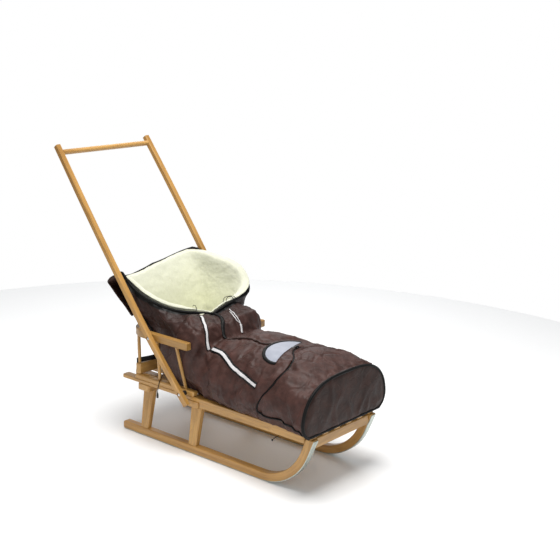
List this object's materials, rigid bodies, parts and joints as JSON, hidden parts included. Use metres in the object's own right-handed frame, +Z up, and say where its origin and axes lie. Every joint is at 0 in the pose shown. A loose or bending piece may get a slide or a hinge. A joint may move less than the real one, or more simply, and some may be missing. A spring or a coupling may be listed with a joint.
{
  "type": "wooden push sledge",
  "caption": "Slatted wooden sledge with bent runners, spindle backrest, tall push handle and a padded fleece-lined footmuff.",
  "frame": {"origin": "on the ground under the middle of the sledge's overall box", "axes": "+X forward to the runner tips, +Y to the sledge's left, +Z up"},
  "size_m": [1.1708, 0.4632, 1.0174],
  "materials": {
    "wood": "clear varnished beech, satin",
    "runner_wood": "clear varnished bent beech, satin",
    "steel_shoe": "plain steel strip, satin",
    "zinc_hardware": "zinc plated, satin",
    "cloth": "woven polyester shell, slight sheen",
    "dark_cloth": "woven polyester shell, slight sheen",
    "fleece": "deep pile fleece, matt",
    "black_webbing": "woven tape, matt",
    "black_cord": "braided cord, matt",
    "black_metal": "painted, semi gloss",
    "black_plastic": "moulded, matt"
  },
  "bodies": {
    "root": {"runner_right": "runner_wood", "shoe_right": "steel_shoe", "rear_leg_right": "wood", "middle_leg_right": "wood", "under_rail_right": "wood", "side_rail_right": "wood", "rear_spindle_right": "wood", "middle_spindle_right": "wood", "front_spindle_right": "wood", "handle_bar_right": "wood", "lower_bolt_right": "zinc_hardware", "upper_bolt_right": "zinc_hardware", "handle_spacer_right": "black_plastic", "flange_nut_right": "zinc_hardware", "footmuff_wing_right": "cloth", "runner_left": "runner_wood", "shoe_left": "steel_shoe", "rear_leg_left": "wood", "middle_leg_left": "wood", "under_rail_left": "wood", "side_rail_left": "wood", "rear_spindle_left": "wood", "middle_spindle_left": "wood", "front_spindle_left": "wood", "handle_bar_left": "wood", "lower_bolt_left": "zinc_hardware", "upper_bolt_left": "zinc_hardware", "handle_spacer_left": "black_plastic", "flange_nut_left": "zinc_hardware", "footmuff_wing_left": "cloth", "rear_crossbar": "wood", "middle_crossbar": "wood", "front_crossbar": "wood", "slat_1": "wood", "slat_2": "wood", "slat_3": "wood", "slat_4": "wood", "slat_5": "wood", "slat_6": "wood", "back_board": "wood", "arm_rail": "wood", "handle_dowel": "wood", "footmuff_cover": "cloth", "footmuff_foot_cover": "cloth", "zip_tape": "black_webbing", "footmuff_end_panel": "dark_cloth", "footmuff_mat": "fleece", "footmuff_back": "cloth", "footmuff_lining": "fleece", "footmuff_pocket": "dark_cloth", "footmuff_strap": "black_webbing", "drawcord": "black_cord", "cord_end": "black_plastic", "tie_loop": "black_cord", "tie_tail": "black_cord"},
    "wing_nut_right": {"wing_nut_right": "zinc_hardware"},
    "wing_nut_left": {"wing_nut_left": "zinc_hardware"},
    "zip_slider": {"zip_slider": "black_metal"},
    "zip_puller": {"zip_puller": "black_metal"}
  },
  "joints": [
    {"name": "wing_nut_right_turn", "type": "hinge", "parent": "root", "child": "wing_nut_right", "pos_m": [-0.1085, -0.1765, 0.395], "axis": [0, 1, 0], "range_deg": [0, 180]},
    {"name": "wing_nut_left_turn", "type": "hinge", "parent": "root", "child": "wing_nut_left", "pos_m": [-0.1085, 0.1765, 0.395], "axis": [0, -1, 0], "range_deg": [0, 180]},
    {"name": "zip_slide", "type": "slide", "parent": "root", "child": "zip_slider", "axis": [0, -1, 0], "range_m": [0, 0.03]},
    {"name": "zip_puller_swing", "type": "hinge", "parent": "zip_slider", "child": "zip_puller", "pos_m": [0.372, 0, 0.4251], "axis": [-1, 0, 0], "range_deg": [0, 170]}
  ]
}
